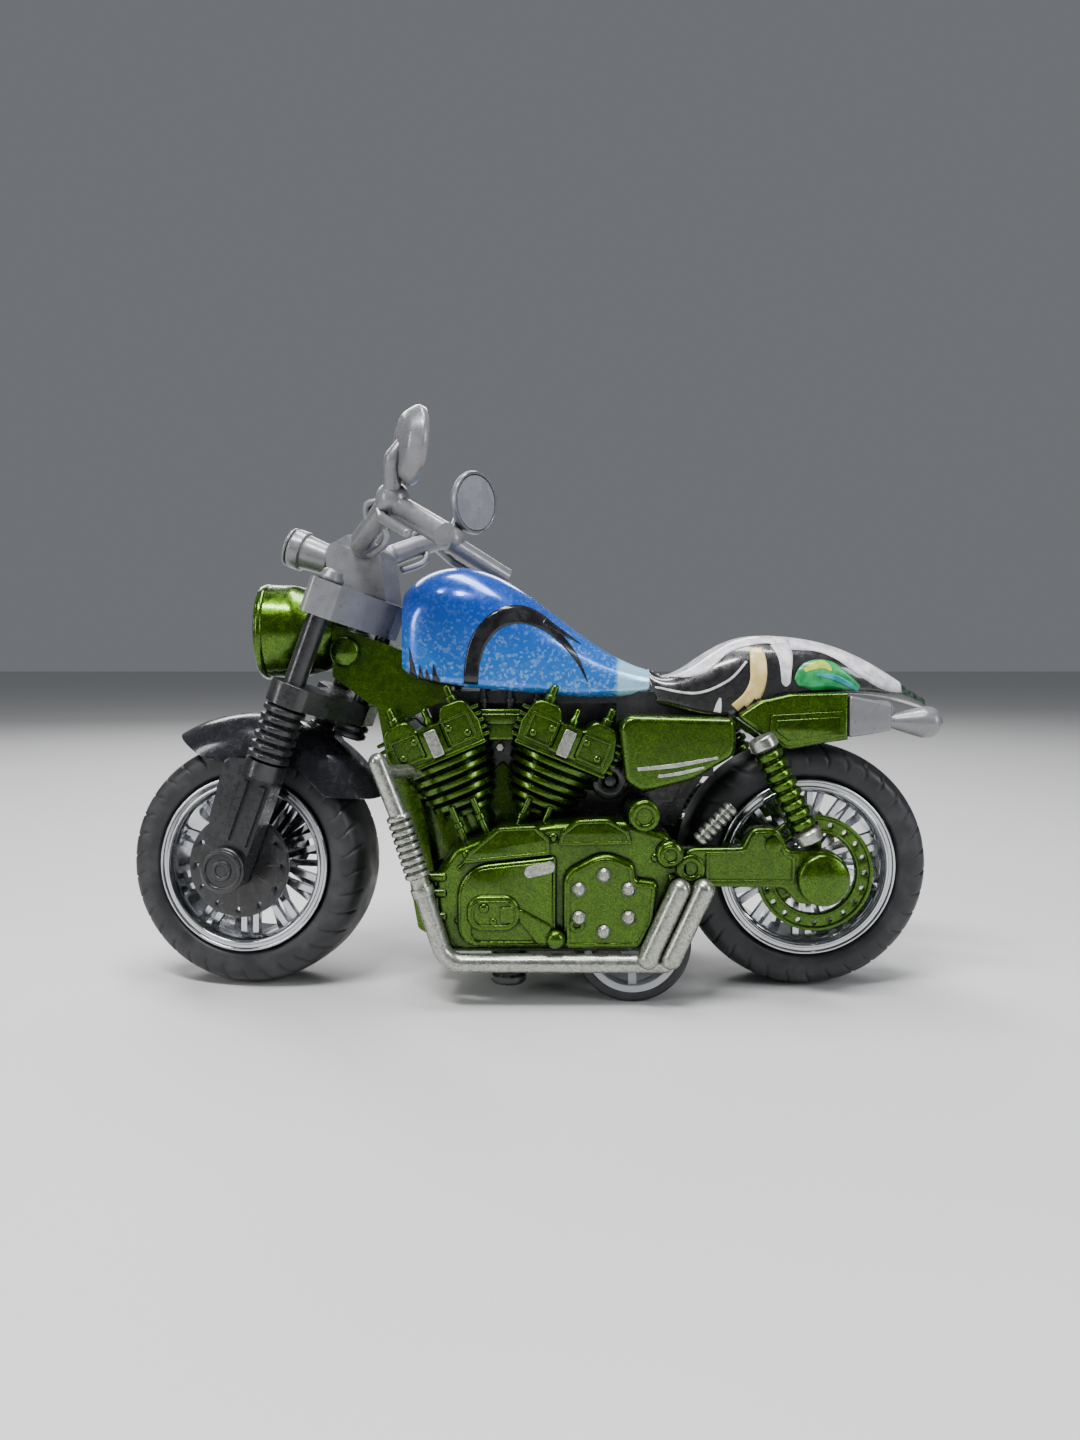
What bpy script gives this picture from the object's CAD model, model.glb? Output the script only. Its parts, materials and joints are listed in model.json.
import json
import math

import bmesh
import bpy
from mathutils import Matrix, Vector
from mathutils.bvhtree import BVHTree


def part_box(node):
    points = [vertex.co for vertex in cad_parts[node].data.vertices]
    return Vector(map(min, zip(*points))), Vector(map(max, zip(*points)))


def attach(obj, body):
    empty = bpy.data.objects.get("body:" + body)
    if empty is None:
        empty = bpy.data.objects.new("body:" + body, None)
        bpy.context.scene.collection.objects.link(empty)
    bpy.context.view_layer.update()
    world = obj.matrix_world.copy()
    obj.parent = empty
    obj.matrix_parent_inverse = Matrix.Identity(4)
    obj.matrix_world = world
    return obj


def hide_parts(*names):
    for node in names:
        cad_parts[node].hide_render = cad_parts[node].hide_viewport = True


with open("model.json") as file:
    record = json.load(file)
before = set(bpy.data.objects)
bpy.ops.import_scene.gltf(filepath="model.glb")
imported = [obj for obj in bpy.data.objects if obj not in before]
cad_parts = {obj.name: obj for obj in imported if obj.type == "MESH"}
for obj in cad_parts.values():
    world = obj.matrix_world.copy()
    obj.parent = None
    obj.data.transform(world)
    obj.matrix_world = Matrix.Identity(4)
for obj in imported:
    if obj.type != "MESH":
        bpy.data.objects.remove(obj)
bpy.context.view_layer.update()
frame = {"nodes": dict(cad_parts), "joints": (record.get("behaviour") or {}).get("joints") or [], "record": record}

MM = 0.001
LEFT = 1
RIGHT = -1
NODES = frame["nodes"]
JOINTS = {joint["name"]: joint for joint in frame["joints"]}
BODY_OF = {}
for body_name, members in frame["record"]["behaviour"]["bodies"].items():
    for member in members:
        BODY_OF[member] = body_name


# ------------------------------------------------------------------ material nodes

class Finish:
    """One procedural material, with short calls that add and wire its nodes."""

    def __init__(self, name, **numbers):
        self.material = bpy.data.materials.new(name)
        self.material.use_nodes = True
        self.tree = self.material.node_tree
        self.shader = self.tree.nodes["Principled BSDF"]
        self.place = self.add("ShaderNodeTexCoord").outputs["Object"]
        for socket, value in numbers.items():
            self.shader.inputs[socket.replace("_", " ")].default_value = value

    def add(self, kind, **settings):
        node = self.tree.nodes.new(kind)
        for key, value in settings.items():
            setattr(node, key, value)
        return node

    def feed(self, socket, value):
        if isinstance(value, bpy.types.NodeSocket):
            self.tree.links.new(value, socket)
        else:
            socket.default_value = value

    def noise(self, scale, detail=3.0, rough=0.55, stretch=None):
        node = self.add("ShaderNodeTexNoise")
        self.feed(node.inputs["Vector"], self.stretched(stretch))
        node.inputs["Scale"].default_value = scale
        node.inputs["Detail"].default_value = detail
        node.inputs["Roughness"].default_value = rough
        return node.outputs["Fac"]

    def stretched(self, stretch):
        if stretch is None:
            return self.place
        node = self.add("ShaderNodeMapping")
        self.feed(node.inputs["Vector"], self.place)
        node.inputs["Scale"].default_value = stretch
        return node.outputs["Vector"]

    def cells(self, scale):
        """A random colour for each cell."""
        node = self.add("ShaderNodeTexVoronoi")
        self.feed(node.inputs["Vector"], self.place)
        node.inputs["Scale"].default_value = scale
        return node.outputs["Color"]

    def math(self, operation, first, second):
        node = self.add("ShaderNodeMath", operation=operation)
        self.feed(node.inputs[0], first)
        self.feed(node.inputs[1], second)
        return node.outputs[0]

    def axis(self, name, source=None):
        node = self.add("ShaderNodeSeparateXYZ")
        self.feed(node.inputs[0], self.place if source is None else source)
        return node.outputs[name]

    def band(self, value, low, high, to_low=0.0, to_high=1.0):
        node = self.add("ShaderNodeMapRange", interpolation_type="SMOOTHSTEP")
        for socket, number in zip(node.inputs, (value, low, high, to_low, to_high)):
            self.feed(socket, number)
        return node.outputs[0]

    def mix(self, factor, first, second):
        node = self.add("ShaderNodeMix", data_type="RGBA")
        self.feed(node.inputs["Factor"], factor)
        self.feed(node.inputs["A"], first)
        self.feed(node.inputs["B"], second)
        return node.outputs["Result"]

    def creases(self, distance):
        """Near 0 in creases and 1 in the open."""
        node = self.add("ShaderNodeAmbientOcclusion", samples=8)
        node.inputs["Distance"].default_value = distance
        return node.outputs["AO"]

    def bump(self, height, strength, depth, under=None):
        node = self.add("ShaderNodeBump")
        node.inputs["Strength"].default_value = strength
        node.inputs["Distance"].default_value = depth
        self.feed(node.inputs["Height"], height)
        if under is not None:
            self.feed(node.inputs["Normal"], under)
        return node.outputs["Normal"]

    def finish(self, colour, rough=None, normal=None):
        self.feed(self.shader.inputs["Base Color"], colour)
        if rough is not None:
            self.feed(self.shader.inputs["Roughness"], rough)
        if normal is not None:
            self.feed(self.shader.inputs["Normal"], normal)
        return self.material


def rgb(red, green, blue):
    return (red, green, blue, 1.0)


def flake_paint(name, deep, bright, recess, metallic=0.75, rough=0.3):
    """Candy paint: metal flakes under a clear coat, pooled dark in the creases."""
    paint = Finish(name, Metallic=metallic, Coat_Weight=0.4, Coat_Roughness=0.1)
    cloud = paint.noise(260.0)
    flakes = paint.axis("X", paint.cells(9000.0))
    glint = paint.math("MULTIPLY", flakes, paint.math("ADD", cloud, 0.3))
    tone = paint.mix(glint, deep, bright)
    tone = paint.mix(paint.band(paint.creases(0.7 * MM), 0.3, 0.9), recess, tone)
    pooled = paint.band(paint.creases(3.0 * MM), 0.25, 0.8)
    tone = paint.mix(paint.math("ADD", paint.math("MULTIPLY", pooled, 0.7), 0.3), recess, tone)
    roughness = paint.band(paint.noise(900.0), 0.3, 0.7, rough - 0.06, rough + 0.1)
    relief = paint.bump(flakes, 0.10, 0.02 * MM)
    relief = paint.bump(paint.noise(420.0, detail=2.0), 0.25, 0.05 * MM, under=relief)
    return paint.finish(tone, roughness, relief)


def moulded_plastic(name, tone, lighter, rough=0.32, grain=0.2, coat=0.2):
    """Moulded plastic: slight colour drift, fine surface grain and worn, lighter ridges."""
    plastic = Finish(name, Coat_Weight=coat, Coat_Roughness=0.2)
    drift = plastic.noise(180.0)
    colour = plastic.mix(plastic.band(drift, 0.35, 0.7), tone, lighter)
    roughness = plastic.band(plastic.noise(1200.0), 0.3, 0.7, rough - 0.08, rough + 0.12)
    relief = plastic.bump(plastic.noise(2600.0, detail=4.0), grain, 0.02 * MM)
    return plastic.finish(colour, roughness, relief)


def pearl_plastic(name):
    pearl = Finish(name, Metallic=0.35, Coat_Weight=0.35, Coat_Roughness=0.2)
    swirl = pearl.noise(160.0, detail=5.0, stretch=(1.0, 1.0, 2.5))
    colour = pearl.mix(swirl, rgb(0.13, 0.13, 0.14), rgb(0.25, 0.25, 0.265))
    colour = pearl.mix(pearl.band(pearl.creases(1.6 * MM), 0.3, 0.9), rgb(0.07, 0.07, 0.08), colour)
    roughness = pearl.band(pearl.noise(900.0), 0.3, 0.7, 0.26, 0.42)
    return pearl.finish(colour, roughness, pearl.bump(pearl.noise(700.0), 0.15, 0.03 * MM))


def silver_paint(name):
    silver = Finish(name, Metallic=0.9)
    speck = silver.axis("X", silver.cells(4200.0))
    colour = silver.mix(speck, rgb(0.25, 0.26, 0.225), rgb(0.46, 0.47, 0.42))
    colour = silver.mix(silver.band(silver.creases(0.8 * MM), 0.3, 0.9), rgb(0.1, 0.11, 0.09), colour)
    roughness = silver.band(silver.noise(700.0), 0.3, 0.7, 0.22, 0.36)
    relief = silver.bump(silver.noise(1500.0, detail=4.0), 0.35, 0.02 * MM)
    return silver.finish(colour, roughness, relief)


def chrome(name):
    plating = Finish(name, Metallic=1.0)
    haze = plating.noise(350.0, detail=4.0)
    colour = plating.mix(haze, rgb(0.42, 0.43, 0.46), rgb(0.66, 0.67, 0.70))
    colour = plating.mix(plating.band(plating.creases(1.0 * MM), 0.2, 0.85), rgb(0.06, 0.06, 0.07), colour)
    roughness = plating.band(haze, 0.35, 0.7, 0.1, 0.24)
    return plating.finish(colour, roughness, plating.bump(haze, 0.08, 0.03 * MM))


def turned_steel(name, tone):
    steel = Finish(name, Metallic=1.0)
    rings = steel.noise(1500.0, detail=2.0, stretch=(0.2, 6.0, 0.2))
    colour = steel.mix(rings, tone, rgb(0.62, 0.62, 0.64))
    roughness = steel.band(rings, 0.3, 0.7, 0.25, 0.45)
    return steel.finish(colour, roughness, steel.bump(rings, 0.15, 0.02 * MM))


def tyre_rubber(name):
    rubber = Finish(name, Specular_IOR_Level=0.45)
    dust = rubber.noise(300.0, detail=6.0)
    colour = rubber.mix(rubber.band(dust, 0.4, 0.75), rgb(0.012, 0.012, 0.014), rgb(0.035, 0.035, 0.039))
    roughness = rubber.band(dust, 0.3, 0.7, 0.38, 0.6)
    relief = rubber.bump(rubber.noise(3000.0, detail=4.0), 0.3, 0.03 * MM)
    return rubber.finish(colour, roughness, relief)


def tank_paint(name):
    """Deep blue at the top, paler and speckled towards the foot, pale behind."""
    paint = Finish(name, Metallic=0.3, Coat_Weight=0.6, Coat_Roughness=0.05)
    low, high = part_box("fuel_tank")
    height = paint.axis("Z")
    wander = paint.math("MULTIPLY", paint.noise(140.0), 5.0 * MM)
    level = paint.math("ADD", height, wander)
    blue = paint.mix(paint.band(level, low.z + 3 * MM, high.z - 1 * MM),
                     rgb(0.018, 0.17, 0.60), rgb(0.002, 0.06, 0.42))
    speck = paint.axis("X", paint.cells(2600.0))
    drops = paint.band(speck, 0.62, 0.95)
    amount = paint.math("MULTIPLY", drops, paint.band(level, low.z, high.z, 0.42, 0.06))
    blue = paint.mix(amount, blue, rgb(0.40, 0.66, 0.88))
    back = paint.math("ADD", paint.axis("X"), paint.math("MULTIPLY", paint.noise(420.0), 2.6 * MM))
    pale = paint.band(back, low.x + 6.3 * MM, low.x + 7.4 * MM)
    blue = paint.mix(pale, rgb(0.36, 0.66, 0.86), blue)
    roughness = paint.band(paint.noise(500.0), 0.3, 0.7, 0.16, 0.28)
    relief = paint.bump(paint.noise(500.0, detail=2.0), 0.2, 0.03 * MM)
    return paint.finish(blue, roughness, relief)


def seat_print(name):
    """Glossy black print with a lumpy grain, greener towards the tail."""
    seat = Finish(name, Coat_Weight=0.9, Coat_Roughness=0.08)
    black = seat.mix(seat.noise(260.0), rgb(0.004, 0.004, 0.005), rgb(0.014, 0.013, 0.014))
    tail = seat.band(seat.axis("X"), -50 * MM, -57 * MM, 0.0, 0.8)
    speck = seat.math("MULTIPLY", tail, seat.axis("X", seat.cells(1800.0)))
    colour = seat.mix(speck, black, rgb(0.05, 0.10, 0.07))
    lumps = seat.noise(900.0, detail=4.0)
    roughness = seat.band(lumps, 0.3, 0.7, 0.2, 0.4)
    return seat.finish(colour, roughness, seat.bump(lumps, 0.45, 0.12 * MM))


def print_ink(name, tone, second, metallic=0.0):
    """A printed mark with a slightly uneven film."""
    ink = Finish(name, Metallic=metallic, Coat_Weight=0.5, Coat_Roughness=0.08, Specular_IOR_Level=0.3)
    patch = ink.noise(700.0, detail=4.0)
    colour = ink.mix(ink.band(patch, 0.35, 0.7), tone, second)
    roughness = ink.band(patch, 0.3, 0.7, 0.2, 0.36)
    return ink.finish(colour, roughness, ink.bump(ink.noise(900.0), 0.25, 0.04 * MM))


def lens_glass(name):
    glass = Finish(name, Transmission_Weight=0.92, IOR=1.46, Roughness=0.06)
    flutes = glass.noise(300.0, detail=1.0, stretch=(1.0, 6.0, 0.3))
    return glass.finish(rgb(0.93, 0.95, 0.97), None, glass.bump(flutes, 0.4, 0.2 * MM))


def mirror_foil(name):
    foil = Finish(name, Metallic=0.55, Coat_Weight=0.4, Coat_Roughness=0.12)
    haze = foil.noise(260.0, detail=4.0)
    colour = foil.mix(haze, rgb(0.34, 0.34, 0.38), rgb(0.52, 0.51, 0.56))
    return foil.finish(colour, foil.band(haze, 0.3, 0.7, 0.18, 0.34), None)


def nylon(name):
    plastic = Finish(name, Subsurface_Weight=0.25, Coat_Weight=0.2)
    plastic.shader.inputs["Subsurface Scale"].default_value = 1.0 * MM
    drift = plastic.noise(220.0)
    colour = plastic.mix(drift, rgb(0.36, 0.38, 0.40), rgb(0.50, 0.52, 0.54))
    return plastic.finish(colour, plastic.band(drift, 0.3, 0.7, 0.3, 0.45), None)


FINISHES = {
    "green_casting": flake_paint("candy_green", rgb(0.020, 0.044, 0.001), rgb(0.088, 0.205, 0.004),
                                 rgb(0.007, 0.012, 0.001), metallic=0.92, rough=0.25),
    "blue_tank": tank_paint("tank_blue"),
    "printed_seat": seat_print("seat_black"),
    "black_plastic": moulded_plastic("black_moulding", rgb(0.008, 0.008, 0.009),
                                     rgb(0.02, 0.02, 0.023), rough=0.3),
    "gunmetal_fender": flake_paint("gunmetal", rgb(0.008, 0.008, 0.011), rgb(0.05, 0.05, 0.06),
                                   rgb(0.004, 0.004, 0.005), metallic=0.6, rough=0.2),
    "silver_plastic": pearl_plastic("pearl_silver"),
    "silver_paint": silver_paint("silver_paint"),
    "chrome_rim": chrome("plated_rim"),
    "tyre_rubber": tyre_rubber("rubber"),
    "steel": turned_steel("turned_steel", rgb(0.3, 0.3, 0.32)),
    "lamp_lens": lens_glass("lens_glass"),
    "mirror_face": mirror_foil("mirror_foil"),
    "grey_nylon": nylon("grey_nylon"),
    "spring_steel": turned_steel("blued_spring", rgb(0.12, 0.13, 0.2)),
    "ivory_gear": moulded_plastic("ivory_acetal", rgb(0.62, 0.58, 0.48), rgb(0.72, 0.69, 0.6)),
}
INKS = {
    "black": print_ink("ink_black", rgb(0.004, 0.004, 0.005), rgb(0.012, 0.012, 0.014)),
    "white": print_ink("ink_pearl", rgb(0.50, 0.49, 0.52), rgb(0.80, 0.79, 0.82)),
    "cream": print_ink("ink_cream", rgb(0.62, 0.46, 0.17), rgb(0.78, 0.62, 0.30)),
    "green": print_ink("ink_green", rgb(0.01, 0.21, 0.06), rgb(0.03, 0.36, 0.12)),
    "teal": print_ink("ink_teal", rgb(0.01, 0.22, 0.24), rgb(0.04, 0.36, 0.38)),
    "lime": print_ink("ink_lime", rgb(0.22, 0.45, 0.03), rgb(0.62, 0.66, 0.08)),
    "silver": print_ink("ink_silver", rgb(0.34, 0.34, 0.33), rgb(0.5, 0.5, 0.48), metallic=0.7),
}


# ------------------------------------------------------------------ pieces

def new_piece(name, mesh, finish, body):
    piece = bpy.data.objects.new(name, mesh)
    bpy.context.scene.collection.objects.link(piece)
    mesh.shade_smooth()
    mesh.materials.append(finish)
    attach(piece, body)
    return piece


def mesh_from(name, points, faces):
    mesh = bpy.data.meshes.new(name)
    mesh.from_pydata([tuple(point) for point in points], [], faces)
    mesh.validate()
    mesh.update()
    return mesh


def dress_cad():
    """Give every carried-over CAD node its finish, smooth shading and softened edges."""
    for entry in frame["record"]["subparts"]:
        node = NODES[entry["node"]]
        node.data.materials.clear()
        node.data.materials.append(FINISHES[entry["material_slot"]])
        node.data.shade_smooth()
        weld = node.modifiers.new("weld", "WELD")
        weld.merge_threshold = 0.002 * MM
        soften = node.modifiers.new("soften", "BEVEL")
        soften.width = 0.1 * MM
        soften.segments = 2
        soften.limit_method = "ANGLE"
        soften.angle_limit = math.radians(35)
        soften.use_clamp_overlap = True
        weigh = node.modifiers.new("weigh", "WEIGHTED_NORMAL")
        weigh.mode = "FACE_AREA"
        weigh.keep_sharp = True


def spread(points, steps):
    """Points along a smooth curve through the given ones, each a tuple of numbers."""
    last = len(points) - 1
    result = []
    for number in range(steps + 1):
        place = number / steps * last
        left = min(int(place), last - 1)
        t = place - left
        knots = [points[min(max(left + shift, 0), last)] for shift in (-1, 0, 1, 2)]
        values = []
        for a, b, c, d in zip(*knots):
            cubic = 2 * b + (c - a) * t + (2 * a - 5 * b + 4 * c - d) * t ** 2
            cubic += (3 * b - a - 3 * c + d) * t ** 3
            values.append(cubic / 2)
        result.append(tuple(values))
    return result


FAR_OUT = 40          # mm to the side, where rays towards the skin start
NEAR_SKIN = 7


def surface_of(node):
    data = NODES[node].data
    return BVHTree.FromPolygons([v.co for v in data.vertices], [p.vertices for p in data.polygons])


def printed_film(name, points, faces, ink, target):
    """A thin layer of ink that rides with the CAD node under it."""
    piece = new_piece(name, mesh_from(name, points, faces), INKS[ink], BODY_OF[target])
    film = piece.modifiers.new("film", "SOLIDIFY")
    film.thickness = 0.04 * MM
    film.offset = 0


def ribbon(name, stroke, target, side, ink, lift, steps=36, across=6):
    """A printed stroke (x, z, width in mm) laid on one side of a CAD node's surface."""
    tree = surface_of(target)
    rows = spread(stroke, steps)
    points = []
    for number, (x, z, width) in enumerate(rows):
        ahead = rows[min(number + 1, steps)]
        behind = rows[max(number - 1, 0)]
        along = Vector((ahead[0] - behind[0], ahead[1] - behind[1])).normalized()
        for place in range(across + 1):
            shift = (place / across - 0.5) * max(width, 0.04)
            place_x = x - along.y * shift
            place_z = z + along.x * shift
            start = Vector((place_x, side * FAR_OUT, place_z)) * MM
            spot, normal, _, _ = tree.ray_cast(start, Vector((0, -side, 0)))
            if spot is None:
                beside = Vector((place_x, side * NEAR_SKIN, place_z)) * MM
                spot, normal, _, _ = tree.find_nearest(beside)
            points.append(spot + normal * lift * MM)
    faces = []
    for row in range(steps):
        for place in range(across):
            first = row * (across + 1) + place
            quad = [first, first + 1, first + across + 2, first + across + 1]
            faces.append(quad if side == RIGHT else quad[::-1])
    printed_film(name, points, faces, ink, target)


# Each mark: its ink, then the (x, z, width) places that its stroke runs through.
TANK_STROKES = {
    "tank_arch": ("black", [(8.0, 46.0, 2.1), (7.7, 49.4, 2.2), (6.6, 52.6, 2.4), (4.2, 55.2, 2.6),
                            (1.0, 56.1, 2.7), (-2.4, 54.9, 2.0), (-5.2, 52.4, 1.1),
                            (-7.4, 49.6, 0.7), (-9.0, 46.2, 0.1)]),
    "tank_fork": ("black", [(-2.6, 55.2, 1.0), (-5.4, 53.4, 0.6), (-8.0, 51.8, 0.06)]),
    "tank_blade_a": ("black", [(16.4, 46.9, 1.1), (16.6, 48.8, 0.6), (17.0, 51.4, 0.05)]),
    "tank_blade_b": ("black", [(15.2, 46.6, 0.9), (15.3, 47.6, 0.5), (15.4, 48.7, 0.05)]),
    "tank_blade_c": ("black", [(14.3, 46.5, 0.8), (14.3, 47.4, 0.4), (14.5, 48.2, 0.05)]),
    "tank_blade_d": ("black", [(13.0, 46.4, 1.1), (13.2, 47.6, 0.6), (13.4, 48.9, 0.05)]),
    "tank_hem": ("black", [(17.2, 46.9, 0.5), (13.0, 46.1, 0.6), (9.2, 45.6, 0.3)]),
}
SEAT_STROKES = {
    "seat_cream": ("cream", [(-33.8, 51.3, 1.9), (-33.9, 48.9, 2.4), (-33.8, 46.2, 2.4),
                             (-32.8, 43.9, 2.5), (-30.9, 42.0, 2.6)]),
    "seat_drip": ("white", [(-37.4, 52.0, 3.0), (-37.9, 50.0, 2.2), (-37.9, 47.8, 1.6),
                            (-37.9, 46.2, 1.3), (-37.9, 45.6, 0.3)]),
    "seat_patch": ("green", [(-39.4, 46.2, 1.2), (-41.0, 47.0, 3.9), (-43.6, 47.3, 4.3),
                             (-46.2, 46.5, 2.9), (-48.9, 45.3, 0.8)]),
    "seat_leaf": ("lime", [(-40.6, 47.9, 0.5), (-42.2, 48.6, 1.1), (-43.6, 48.7, 1.1),
                           (-44.6, 47.9, 0.3)]),
    "seat_sweep": ("teal", [(-42.4, 47.3, 0.3), (-45.0, 46.9, 0.8), (-47.0, 46.0, 0.8),
                            (-48.7, 45.0, 0.3)]),
    "seat_piping": ("white", [(-19.2, 45.4, 0.25), (-24.9, 44.6, 0.35), (-29.4, 46.4, 0.35),
                              (-32.2, 49.2, 0.3)]),
    "seat_shard": ("white", [(-28.4, 43.9, 0.3), (-28.2, 42.9, 0.8), (-28.0, 41.8, 1.1)]),
}
FILM_STEP = 0.03
COVER_STROKES = {
    "cover_stripe_long": ("silver", [(-15.9, 33.9, 0.45), (-21.5, 34.5, 0.6), (-27.4, 35.6, 0.35)]),
    "cover_stripe_short": ("silver", [(-18.8, 32.9, 0.4), (-22.2, 33.4, 0.5), (-25.4, 34.2, 0.3)]),
}


def print_marks():
    """Every stroke on both sides, each a little higher than the one before."""
    for strokes, targets in ((TANK_STROKES, ("fuel_tank", "fuel_tank")),
                             (SEAT_STROKES, ("seat_tail", "seat_tail")),
                             (COVER_STROKES, ("side_cover_left", "side_cover_right"))):
        for order, (name, (ink, stroke)) in enumerate(strokes.items()):
            lift = FILM_STEP * (1 + order % 6)
            ribbon(name + "_left", stroke, targets[0], LEFT, ink, lift)
            ribbon(name + "_right", stroke, targets[1], RIGHT, ink, lift)


# ------------------------------------------------------------------ tyres

def wheel_place(joint):
    """Turns a piece built round the Y axis onto a wheel's own axis and centre."""
    axis = Vector(JOINTS[joint]["axis"])
    turn = Vector((0, 1, 0)).rotation_difference(axis).to_matrix().to_4x4()
    return Matrix.Translation(Vector(JOINTS[joint]["pos_m"])) @ turn


def tyre(name, node, joint):
    """A squarish tyre with bead ridges and short slanted grooves on both shoulders."""
    low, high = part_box("rear_tyre")
    outer = (high.z - low.z) / 2
    half = (high.y - low.y) / 2
    bead = 12.6 * MM
    middle = (outer + bead) / 2
    tall = (outer - bead) / 2
    squareness = 2 / 3
    turns = 576
    section = 72
    grooves = 34
    groove_share = 0.13           # of the pitch between grooves
    groove_depth = 0.32 * MM
    ridge_height = 0.12 * MM
    ridge_reach = 0.22 * MM
    points = []
    for turn in range(turns):
        angle = 2 * math.pi * turn / turns
        for place in range(section):
            around = 2 * math.pi * place / section
            up = math.copysign(abs(math.sin(around)) ** squareness, math.sin(around))
            out = math.copysign(abs(math.cos(around)) ** squareness, math.cos(around))
            radius = middle + tall * up
            side = half * out
            climb = (radius - outer) / MM
            if -2.9 < climb < -0.2 and up > 0:
                slant = climb * 0.035 * math.copysign(1, side)
                phase = ((angle + slant) * grooves / (2 * math.pi)) % 1
                if 0.0 < phase < groove_share:
                    depth = groove_depth * math.sin(phase / groove_share * math.pi)
                    radius -= depth * abs(up)
                    side -= depth * out
            ridge = math.exp(-((radius - bead - 1.3 * MM) / ridge_reach) ** 2)
            side += ridge_height * ridge * out
            points.append(Vector((radius * math.cos(angle), side, radius * math.sin(angle))))
    faces = []
    for turn in range(turns):
        following = (turn + 1) % turns
        for place in range(section):
            after = (place + 1) % section
            faces.append([turn * section + place, turn * section + after,
                          following * section + after, following * section + place])
    mesh = mesh_from(name, points, faces)
    mesh.transform(wheel_place(joint))
    piece = new_piece(name, mesh, FINISHES["tyre_rubber"], BODY_OF[node])
    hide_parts(node)
    return piece


# ------------------------------------------------------------------ small turned details

def turned_mesh(name, profile, place, segments=24):
    """Turn (radius, along) pairs in mm about the Z axis, then place the result."""
    bm = bmesh.new()
    rings = []
    for radius, along in profile:
        if radius == 0:
            rings.append([bm.verts.new((0, 0, along * MM))])
            continue
        ring = []
        for number in range(segments):
            angle = 2 * math.pi * number / segments
            spot = (radius * math.cos(angle) * MM, radius * math.sin(angle) * MM, along * MM)
            ring.append(bm.verts.new(spot))
        rings.append(ring)
    for below, above in zip(rings, rings[1:]):
        for number in range(segments):
            after = (number + 1) % segments
            corners = [below[number % len(below)], below[after % len(below)],
                       above[after % len(above)], above[number % len(above)]]
            unique = list(dict.fromkeys(corners))
            if len(unique) > 2:
                bm.faces.new(unique)
    bmesh.ops.recalc_face_normals(bm, faces=bm.faces)
    bm.transform(place)
    mesh = bpy.data.meshes.new(name)
    bm.to_mesh(mesh)
    bm.free()
    return mesh


def joined(name, meshes, finish, body):
    bm = bmesh.new()
    for mesh in meshes:
        bm.from_mesh(mesh)
        bpy.data.meshes.remove(mesh)
    whole = bpy.data.meshes.new(name)
    bm.to_mesh(whole)
    bm.free()
    return new_piece(name, whole, finish, body)


def facing(spot, direction):
    turn = Vector((0, 0, 1)).rotation_difference(Vector(direction)).to_matrix().to_4x4()
    return Matrix.Translation(Vector(spot) * MM) @ turn


BUTTON = [(0, -0.3), (0.62, -0.3), (0.62, 0.12), (0.5, 0.3), (0.25, 0.38), (0, 0.4)]


def rounded(corners, steps=7):
    """Points round a closed outline whose corners are (x, z, radius)."""
    points = []
    count = len(corners)
    for i, (x, z, radius) in enumerate(corners):
        here = Vector((x, z))
        back = Vector(corners[i - 1][:2]) - here
        ahead = Vector(corners[(i + 1) % count][:2]) - here
        half = back.angle(ahead) / 2
        reach = min(radius / math.tan(half), back.length * 0.49, ahead.length * 0.49)
        first = here + back.normalized() * reach
        last = here + ahead.normalized() * reach
        for step in range(steps + 1):
            t = step / steps
            points.append(first * (1 - t) ** 2 + here * 2 * t * (1 - t) + last * t ** 2)
    return points


def inset(corners, distance):
    """The same outline moved inwards, its outer corners tightened to suit."""
    area = 0
    for i, (x, z, _) in enumerate(corners):
        area += corners[i - 1][0] * z - x * corners[i - 1][1]
    way = math.copysign(1, area)
    result = []
    for i, (x, z, radius) in enumerate(corners):
        here = Vector((x, z))
        before = (here - Vector(corners[i - 1][:2])).normalized()
        after = (Vector(corners[(i + 1) % len(corners)][:2]) - here).normalized()
        square_before = Vector((-before.y, before.x)) * way
        square_after = Vector((-after.y, after.x)) * way
        share = distance / (1 + square_before.dot(square_after))
        spot = here + (square_before + square_after) * share
        outward = before.cross(after) * way > 0
        bend = max(radius - distance, 0.05) if outward else radius + distance
        result.append((spot.x, spot.y, bend))
    return result


def slab_mesh(loops, y_low, height, edge, side):
    """A rounded-edged plate of one side of the toy; a loop inside another is a hole."""
    curve = bpy.data.curves.new("slab", "CURVE")
    curve.dimensions = "2D"
    curve.fill_mode = "BOTH"
    curve.extrude = (height / 2 - edge) * MM
    curve.bevel_depth = edge * MM
    curve.bevel_resolution = 2
    curve.offset = -edge * MM
    for loop in loops:
        spline = curve.splines.new("POLY")
        points = rounded(loop)
        spline.points.add(len(points) - 1)
        for point, spot in zip(spline.points, points):
            point.co = (spot.x * MM, spot.y * MM, 0, 1)
        spline.use_cyclic_u = True
    holder = bpy.data.objects.new("slab", curve)
    mesh = bpy.data.meshes.new_from_object(holder)
    bpy.data.objects.remove(holder)
    bpy.data.curves.remove(curve)
    middle = side * (y_low + height / 2) * MM
    mesh.transform(Matrix(((1, 0, 0, 0), (0, 0, side, middle), (0, 1, 0, 0), (0, 0, 0, 1))))
    bm = bmesh.new()
    bm.from_mesh(mesh)
    bmesh.ops.remove_doubles(bm, verts=bm.verts, dist=0.001 * MM)
    bmesh.ops.recalc_face_normals(bm, faces=bm.faces)
    bm.to_mesh(mesh)
    bm.free()
    mesh.materials.clear()
    return mesh


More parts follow.
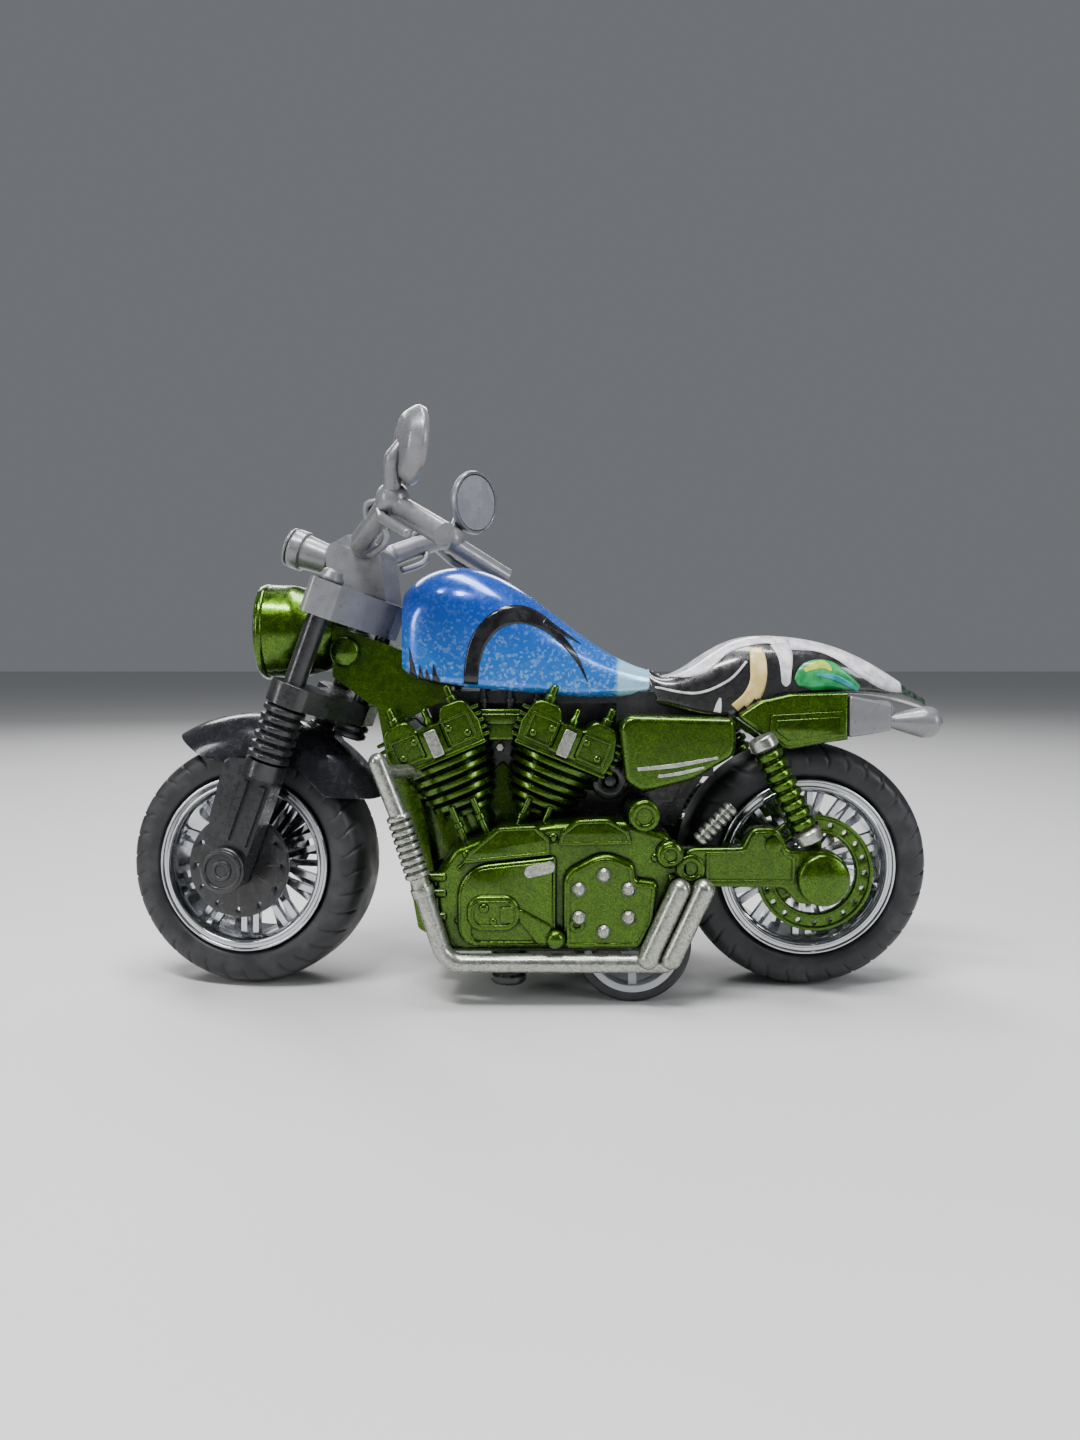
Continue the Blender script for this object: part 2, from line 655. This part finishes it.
class Relief:
    """Gathers small raised details of both sides of the chassis into one piece."""

    def __init__(self, name, finish):
        self.name = name
        self.finish = finish
        self.meshes = []

    def plate(self, loops, y_low, height, edge=0.15):
        for side in (LEFT, RIGHT):
            self.meshes.append(slab_mesh(loops, y_low, height, edge, side))

    def rim(self, corners, margin, width, y_low, height, edge=0.12):
        self.plate([inset(corners, margin), inset(corners, margin + width)], y_low, height, edge)

    def turned(self, profile, x, y, z, direction=(0, 1, 0), segments=32):
        for side in (LEFT, RIGHT):
            way = (direction[0], side * direction[1], direction[2])
            self.meshes.append(turned_mesh(self.name, profile, facing((x, side * y, z), way), segments))

    def stud(self, x, y, z, size=1.0):
        self.turned([(radius * size, along * size) for radius, along in BUTTON], x, y, z, segments=18)

    def done(self):
        piece = joined(self.name, self.meshes, self.finish, "chassis")
        piece.data.set_sharp_from_angle(angle=math.radians(50))
        return piece


def bar(x_low, x_high, z_low, z_high, radius):
    """Outline of a straight bar with rounded corners."""
    return [(x_high, z_high, radius), (x_low, z_high, radius), (x_low, z_low, radius),
            (x_high, z_low, radius)]


def ring_profile(inner, outer, low, high, edge=0.12):
    """Section of a raised ring, its two outer edges broken."""
    return [(inner, low), (outer, low), (outer, high - edge), (outer - edge, high),
            (inner + edge, high), (inner, high - edge), (inner, low)]


CRANK = Vector((3.7, 15.0))
CYLINDER_LEAN = 22.8
REAR_AXLE = Vector(JOINTS["rear_wheel_spin"]["pos_m"]) / MM
FRONT_BULGE = [(9.3, 20.6, 0.4), (8.0, 22.4, 1.2), (3.9, 25.9, 1.8), (-1.4, 26.1, 1.2),
               (-3.4, 24.2, 0.5), (-3.5, 21.9, 0.4)]
REAR_BULGE = [(-4.4, 23.2, 0.4), (-5.0, 25.2, 0.8), (-7.2, 26.9, 1.4), (-11.7, 27.1, 2.4),
              (-14.6, 25.3, 1.0), (-15.2, 23.4, 0.4)]
PRIMARY = [(9.8, 20.2, 5.0), (-4.4, 21.8, 0.6), (-4.4, 8.7, 0.6), (9.8, 8.7, 3.0)]
PRIMARY_SINK = [(7.9, 12.6, 1.4), (-3.2, 12.2, 0.6), (-3.2, 9.7, 0.5), (7.6, 9.7, 1.4)]
CLUTCH = [(-5.2, 8.5, 1.0), (-5.2, 19.5, 3.0), (-11.0, 22.6, 4.5), (-15.4, 20.8, 1.2),
          (-15.7, 18.6, 0.5), (-18.9, 18.2, 1.0), (-18.4, 12.5, 3.0), (-16.4, 8.5, 1.2)]
LEVER_BOSS = [(8.2, 16.2, 2.3), (1.0, 16.2, 2.3), (1.0, 11.4, 2.3), (8.2, 11.4, 2.3)]
SWINGARM = [(-24.9, 22.9, 0.4), (-30.6, 23.0, 0.8), (-32.0, 25.8, 1.6), (-35.8, 25.8, 1.6),
            (-37.2, 22.6, 0.8), (-38.6, 22.0, 0.8), (-38.6, 17.4, 0.8), (-24.9, 17.5, 0.4)]
ENGINE_WEB = [(14.2, 18.6, 0.4), (16.6, 27.6, 0.6), (9.5, 29.0, 0.8), (3.7, 34.0, 0.6),
              (-0.5, 30.0, 0.8), (-5.0, 26.0, 0.6), (-5.0, 22.2, 0.6)]
CASE_RIDGE = [(9.9, 19.9, 0.3), (8.6, 21.2, 0.3), (-3.4, 22.5, 0.2), (-3.4, 21.9, 0.2),
              (8.2, 20.7, 0.3), (9.4, 19.6, 0.3)]
CASE_STUDS = [(3.3, 22.9), (-3.9, 24.3), (-12.6, 25.4), (8.4, 21.9), (9.6, 12.4), (-18.4, 21.4),
              (-20.9, 18.6)]
BACK_WALL = [(-3.5, 24.0, 0.3), (-3.5, 29.0, 0.3), (-19.8, 29.0, 0.3), (-19.8, 32.4, 0.3),
             (-27.6, 32.4, 0.3), (-24.7, 28.0, 3.0), (-23.0, 24.0, 0.3)]
RAIL_PANEL = [(-35.2, 41.6, 0.5), (-45.8, 42.2, 0.3), (-45.8, 38.6, 0.3), (-42.8, 38.0, 1.4),
              (-37.5, 37.0, 1.6), (-34.9, 39.0, 1.6)]


def rim_ridges():
    """Two raised rings on both faces of each rim."""
    for wheel in ("front", "rear"):
        rings = []
        for side in (LEFT, RIGHT):
            for inner, outer in ((11.75, 12.25), (12.75, 13.25)):
                ring = turned_mesh("ridge", ring_profile(inner, outer, 0, 0.3, 0.14),
                                   facing((0, side * 5.85, 0), (0, side, 0)), 128)
                ring.transform(wheel_place(wheel + "_wheel_spin"))
                rings.append(ring)
        joined(wheel + "_rim_ridges", rings, FINISHES["chrome_rim"], wheel + "_wheel")


def engine_relief():
    """Rims, ribs, bosses and bolt heads cast on both sides of the engine."""
    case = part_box("engine_case_left")[1].y / MM - 0.75
    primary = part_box("primary_covers")[1].y / MM - 0.05
    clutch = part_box("clutch_covers")[1].y / MM - 0.05
    lever = primary + 1.0
    relief = Relief("engine_castings", FINISHES["green_casting"])
    for bulge in (FRONT_BULGE, REAR_BULGE):
        relief.plate([bulge], case - 2.0, 2.85, 0.3)
        relief.rim(bulge, 0.1, 0.5, case + 0.7, 0.35)
    relief.plate([CASE_RIDGE], case, 0.9, 0.2)
    relief.plate([inset(PRIMARY, 0.55), PRIMARY_SINK], primary, 0.45, 0.2)
    relief.rim(CLUTCH, 0.55, 0.5, clutch, 0.25)
    relief.rim(LEVER_BOSS, 0.5, 0.35, lever, 0.3)
    relief.plate([bar(1.7, 3.6, 12.6, 14.8, 0.3)], lever, 0.45)
    for z in (18.6, 16.3, 12.9):
        relief.plate([bar(11.2, 14.7, z - 0.7, z + 0.7, 0.6)], case - 1.4, 1.9, 0.6)
    for x, z in CASE_STUDS:
        relief.stud(x, case, z, 1.1)
    relief.stud(5.9, lever, 14.6, 1.2)
    relief.stud(4.6, lever, 12.7, 0.9)
    relief.turned(ring_profile(0.5, 1.1, 0, 0.5), -7.2, clutch, 12.2)
    relief.turned([(0, 0), (1.35, 0), (1.35, 0.9), (0.9, 1.4), (0, 1.6)], -4.2, primary + 0.4, 10.1)
    relief.turned(ring_profile(1.2, 2.1, 0, 0.5), -16.8, 13.9, 27.4)
    relief.turned([(0, 0), (2.0, 0), (2.0, 1.6), (1.7, 2.0), (1.0, 2.1), (0, 2.1)], -20.4, 12.9, 22.0)
    relief.turned(ring_profile(0.9, 1.5, 0, 0.4), -20.4, 15.0, 22.0)
    relief.plate([ENGINE_WEB], 1.1, 1.4)
    relief.plate([bar(-0.3, 7.7, 40.0, 41.7, 0.8)], 7.5, 0.8, 0.3)
    relief.done()


PUSH_ROD_TUBE = [(0, -3.4), (0.5, -3.4), (0.5, -0.2), (0.75, 0), (0.75, 0.7), (0.5, 0.9), (0.5, 3.2),
                 (0, 3.2)]
PLUG_STUB = [(0, 0), (0.8, 0), (0.8, 1.2), (0.5, 1.5), (0.5, 2.6), (0.3, 2.9), (0, 2.9)]


def cylinder_relief():
    """Head panels, flank fins, gaskets, bolts, stubs and push-rod tubes of both cylinders."""
    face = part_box("front_head")[1].y / MM - 0.05
    relief = Relief("cylinder_castings", FINISHES["green_casting"])
    for lean in (CYLINDER_LEAN, -CYLINDER_LEAN):
        along = Vector((math.sin(math.radians(lean)), math.cos(math.radians(lean))))
        across = Vector((along.y, -along.x))

        def spot(a, b, radius=0.0):
            place = CRANK + across * a + along * b
            return place.x, place.y, radius

        def box(a_low, a_high, b_low, b_high, radius=0.25):
            return [spot(a_low, b_low, radius), spot(a_high, b_low, radius),
                    spot(a_high, b_high, radius), spot(a_low, b_high, radius)]

        for way in (-1, 1):
            panel = box(*sorted((way * 1.5, way * 6.2)), 22.9, 27.0, 0.5)
            relief.rim(panel, 0, 0.45, face, 0.35)
            for a, b in ((5.0, 24.0), (2.7, 25.6)):
                x, z, _ = spot(way * a, b)
                relief.stud(x, face, z, 0.95)
            for fin in range(5):
                foot = 22.6 + 1.05 * fin
                flank = box(*sorted((way * 6.2, way * 7.9)), foot, foot + 0.55, 0.25)
                relief.plate([flank], 1.6, 9.3)
            x, z, _ = spot(way * 1.7, 11.6)
            relief.turned(PUSH_ROD_TUBE, x, 9.0, z, (along.x, 0, along.y))
        relief.plate([box(-7.0, 7.0, 21.7, 22.35)], 1.3, 10.3, 0.25)
        relief.plate([box(-2.3, 2.3, 22.6, 26.9, 0.6)], face, 0.35)
        x, z, _ = spot(0, 26.6)
        relief.turned(PLUG_STUB, x, 7.4, z, (along.x, 0, along.y))
    relief.done()


def frame_relief():
    """Cast details of the swingarms, rear rails, neck, rear discs and axle ends."""
    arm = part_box("swingarms")[1].y / MM
    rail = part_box("rear_rails")[1].y / MM - 0.05
    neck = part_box("neck_casting")[1].y / MM - 0.05
    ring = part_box("ring_discs")[1].y / MM - 0.05
    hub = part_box("rear_axle")[1].y / MM - 1.15
    x, z = REAR_AXLE.x, REAR_AXLE.z
    relief = Relief("frame_castings", FINISHES["green_casting"])
    relief.rim(SWINGARM, 0.5, 0.45, arm - 0.65, 0.3)
    relief.turned(ring_profile(1.0, 2.0, 0, 0.5), -23.3, arm - 0.65, 20.0)
    relief.turned([(0, 0), (3.7, 0), (3.7, 1.0), (3.3, 1.35), (0, 1.4)], x, hub, z, segments=64)
    relief.turned(ring_profile(7.9, 8.5, 0, 0.3), x, ring, z, segments=96)
    relief.turned(ring_profile(6.0, 6.5, 0, 0.3), x, ring, z, segments=96)
    relief.plate([RAIL_PANEL], rail, 0.35)
    relief.plate([inset(RAIL_PANEL, 0.8)], rail + 0.3, 0.25)
    relief.turned([(0, 0), (2.2, 0), (2.2, 0.8), (1.9, 1.1), (0, 1.2)], 27.0, neck, 50.7, segments=48)
    relief.done()


def dark_relief():
    """Black fittings seen under the tank and behind the side covers."""
    relief = Relief("frame_fittings", FINISHES["black_plastic"])
    post = [(0, 0), (0.9, 0), (0.9, 0.6), (0.55, 0.7), (0.55, 1.7), (0.8, 1.8), (0.8, 2.4), (0.5, 2.5),
            (0.5, 4.0), (0, 4.0)]
    for x in (6.4, 2.4, -1.6):
        relief.turned(post, x, 6.0, 41.4, (0, 0, 1))
    relief.plate([BACK_WALL], 0.3, 0.8)
    relief.turned(ring_profile(1.0, 2.9, 0, 1.2, 0.4), -12.4, 5.6, 31.6, segments=48)
    relief.turned([(0, 0), (0.8, 0), (0.8, 1.6), (0, 1.8)], -12.4, 5.6, 31.6)
    relief.done()


def silver_relief():
    """Silver nut on the intake and the sockets in the clutch cover's bolts."""
    relief = Relief("silver_fittings", FINISHES["silver_paint"])
    relief.turned([(0, 0), (0.8, 0), (0.8, 1.0), (0.5, 1.4), (0, 1.4)], 3.9, 6.3, 36.6, segments=6)
    bolt_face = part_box("cover_bolts")[1].y / MM - 0.12
    bolt_circle = 4.05
    for number in range(6):
        angle = math.radians(90 + 60 * number)
        x = -11.0 + bolt_circle * math.cos(angle)
        z = 15.2 + bolt_circle * math.sin(angle)
        relief.turned(ring_profile(0.35, 0.7, 0, 0.2, 0.08), x, bolt_face, z, segments=18)
    relief.done()


# ------------------------------------------------------------------ steering details

STEM = Vector(JOINTS["steering_turn"]["pos_m"])
UP = Vector(JOINTS["steering_turn"]["axis"])
AHEAD = Vector((UP.z, 0, -UP.x))      # square to the stem
FORK_OFFSET = 7
LEG_TRACK = 10.4
LEG_HEAD = 18.0
BARS_ANGLE = -math.acos(JOINTS["front_wheel_spin"]["axis"][1])
BARS_TURNED = Matrix.Translation(STEM) @ Matrix.Rotation(BARS_ANGLE, 4, UP) @ Matrix.Translation(-STEM)


def rod_mesh(points, radius, steps=28, segments=12):
    """A round rod along a smooth line through points in mm."""
    spots = [Vector(spot) * MM for spot in spread(points, steps)]
    rings = []
    side = Vector((0, 1, 0))
    for number, spot in enumerate(spots):
        ahead = spots[min(number + 1, steps)] - spots[max(number - 1, 0)]
        side = (side - side.project(ahead)).normalized()
        other = ahead.normalized().cross(side)
        ring = []
        for place in range(segments):
            angle = 2 * math.pi * place / segments
            ring.append(spot + (side * math.cos(angle) + other * math.sin(angle)) * radius * MM)
        rings.append(ring)
    points = [point for ring in rings for point in ring]
    faces = []
    for row in range(steps):
        for place in range(segments):
            after = (place + 1) % segments
            faces.append([row * segments + place, row * segments + after,
                          (row + 1) * segments + after, (row + 1) * segments + place])
    faces.append(list(range(segments))[::-1])
    faces.append([steps * segments + place for place in range(segments)])
    return mesh_from("rod", points, faces)


def steering_piece(name, meshes, finish):
    """Pieces made straight ahead, turned with the bars and joined."""
    for mesh in meshes:
        mesh.transform(BARS_TURNED)
    return joined(name, meshes, finish, "steering")


def steering_details():
    """Brake hoses, yoke caps, the speedometer's bezel and axle rings."""
    hoses = []
    for side in (LEFT, RIGHT):
        route = [(17.8, side * 12.4, 71.3), (20.5, side * 12.6, 70.6), (20.3, side * 12.2, 68.6),
                 (18.3, side * 11.4, 67.4), (18.7, side * 10.2, 65.6), (21.6, side * 8.2, 64.2)]
        hoses.append(rod_mesh(route, 0.6))
    steering_piece("brake_hoses", hoses, FINISHES["silver_plastic"])
    caps = []
    cap = [(0, 0), (1.9, 0), (1.9, 0.7), (1.5, 1.1), (1.5, 1.5), (1.1, 1.9), (0, 2.0)]
    for side in (LEFT, RIGHT):
        spot = STEM / MM + AHEAD * FORK_OFFSET + UP * LEG_HEAD + Vector((0, side * LEG_TRACK, 0))
        caps.append(turned_mesh("cap", cap, facing(spot, UP), 24))
    dial_way = Vector((0.94, 0, 0.34))
    dial = Vector((30.2, 0, 64.6)) + dial_way.normalized() * 6.7
    caps.append(turned_mesh("bezel", ring_profile(2.3, 3.0, 0, 0.5), facing(dial, dial_way), 32))
    steering_piece("yoke_caps", caps, FINISHES["silver_plastic"])
    rings = []
    for side in (LEFT, RIGHT):
        for inner, outer in ((2.4, 3.0), (0.9, 1.5)):
            place = facing((-REAR_AXLE.x, side * 13.25, REAR_AXLE.z), (0, side, 0))
            rings.append(turned_mesh("ring", ring_profile(inner, outer, 0, 0.35), place, 48))
    steering_piece("axle_rings", rings, FINISHES["black_plastic"])


def headlight_reflector():
    """The plated bowl and bulb behind the lens, and a ring round the shell's mouth."""
    low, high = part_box("headlight_lens")
    height = (low.z + high.z) / 2 / MM
    bowl = [(6.1, 1.2), (5.6, 0.0), (4.4, -1.3), (2.6, -2.2), (1.1, -2.5), (1.1, -1.0), (0, -0.7)]
    place = facing((low.x / MM - 1.4, 0, height), (1, 0, 0))
    mesh = turned_mesh("headlight_reflector", bowl, place, 48)
    new_piece("headlight_reflector", mesh, FINISHES["chrome_rim"], "chassis")
    mouth = facing((high.x / MM - 0.9, 0, height), (1, 0, 0))
    ring = turned_mesh("headlight_bezel", ring_profile(6.35, 7.25, -0.8, 0.25, 0.2), mouth, 96)
    new_piece("headlight_bezel", ring, FINISHES["green_casting"], "chassis")


# ------------------------------------------------------------------ seat decor

SEAT_FRONT_EDGE = [(-19.6, 47.2), (-21.8, 46.9), (-24.5, 47.0), (-27.0, 48.0), (-29.4, 50.2),
                   (-32.0, 51.3), (-35.4, 51.9), (-37.0, 51.3)]
SEAT_REAR_EDGE = [(-37.0, 51.3), (-39.4, 50.9), (-42.6, 50.7), (-45.4, 49.6), (-48.0, 47.8),
                  (-51.0, 45.9), (-53.4, 44.9), (-56.0, 44.6)]


def crown_band(name, edge, target, ink, rows=56, across=28):
    """Colour over the top of the seat, down on both sides to an edge given as (x, z)."""
    tree = surface_of(target)
    lift = 0.05
    below = 1.6
    points = []
    for x, z in spread(edge, rows):
        centre = Vector((x, 0, z - below)) * MM

        def hit(angle):
            way = Vector((0, math.sin(angle), math.cos(angle)))
            return tree.ray_cast(centre + way * 30 * MM, -way)

        low_angle, high_angle = 0.0, math.radians(90)
        for _ in range(14):
            guess = (low_angle + high_angle) / 2
            spot = hit(guess)[0]
            if spot is not None and spot.z > z * MM:
                low_angle = guess
            else:
                high_angle = guess
        for place in range(across + 1):
            spot, normal, _, _ = hit(low_angle * (2 * place / across - 1))
            points.append(spot + normal * lift * MM)
    faces = []
    for row in range(rows):
        for place in range(across):
            first = row * (across + 1) + place
            faces.append([first, first + 1, first + across + 2, first + across + 1])
    printed_film(name, points, faces, ink, target)


# ------------------------------------------------------------------ stage

MIDDLE = Vector((0, 0, 0.04))


def stage():
    """A plain pale floor and a grey sky round it."""
    reach = 3.0
    corners = [(-reach, -reach, 0), (reach, -reach, 0), (reach, reach, 0), (-reach, reach, 0)]
    floor_mesh = mesh_from("floor", corners, [[0, 1, 2, 3]])
    floor = bpy.data.objects.new("floor", floor_mesh)
    bpy.context.scene.collection.objects.link(floor)
    pale = Finish("pale_floor", Roughness=0.55)
    drift = pale.noise(9.0)
    floor_mesh.materials.append(pale.finish(pale.mix(drift, rgb(0.60, 0.60, 0.59), rgb(0.66, 0.66, 0.65))))
    world = bpy.data.worlds.new("studio")
    world.use_nodes = True
    background = world.node_tree.nodes["Background"]
    background.inputs["Color"].default_value = (0.80, 0.84, 0.90, 1.0)
    background.inputs["Strength"].default_value = 0.2
    bpy.context.scene.world = world


def softbox(name, at, width, height, power, colour=(1.0, 1.0, 1.0)):
    """A rectangular light that faces the middle of the toy."""
    light = bpy.data.lights.new(name, "AREA")
    light.shape = "RECTANGLE"
    light.size = width
    light.size_y = height
    light.energy = power
    light.color = colour
    lamp = bpy.data.objects.new(name, light)
    bpy.context.scene.collection.objects.link(lamp)
    lamp.location = at
    lamp.rotation_euler = (MIDDLE - Vector(at)).to_track_quat("-Z", "Y").to_euler()


def lights():
    """Soft studio light from above, both sides and behind."""
    softbox("key", (0.10, 0.20, 0.42), 0.20, 0.06, 2.3)
    softbox("side", (-0.36, 0.26, 0.20), 0.10, 0.22, 0.8, (0.92, 0.96, 1.0))
    softbox("front", (0.34, 0.24, 0.16), 0.05, 0.20, 0.5)
    softbox("top", (-0.03, -0.02, 0.50), 0.40, 0.08, 2.6)
    softbox("rim", (0.1, -0.45, 0.35), 0.5, 0.12, 1.6)


def camera():
    """At the height of the tank, close in and square to the left side."""
    data = bpy.data.cameras.new("camera")
    data.lens = 26.0
    data.sensor_width = 36.0
    data.clip_start = 0.005
    view = bpy.data.objects.new("camera", data)
    bpy.context.scene.collection.objects.link(view)
    view.location = Vector((-2.0, 160.0, 50.2)) * MM
    looking_down = 3.58
    view.rotation_euler = (math.radians(90 - looking_down), 0, math.pi)
    bpy.context.scene.camera = view


camera()
lights()
stage()
dress_cad()
tyre("front_tyre_treaded", "front_tyre", "front_wheel_spin")
tyre("rear_tyre_treaded", "rear_tyre", "rear_wheel_spin")
print_marks()
headlight_reflector()
rim_ridges()
engine_relief()
cylinder_relief()
frame_relief()
dark_relief()
silver_relief()
steering_details()
crown_band("seat_pearl_front", SEAT_FRONT_EDGE, "seat_tail", "white")
crown_band("seat_pearl_rear", SEAT_REAR_EDGE, "seat_tail", "white")
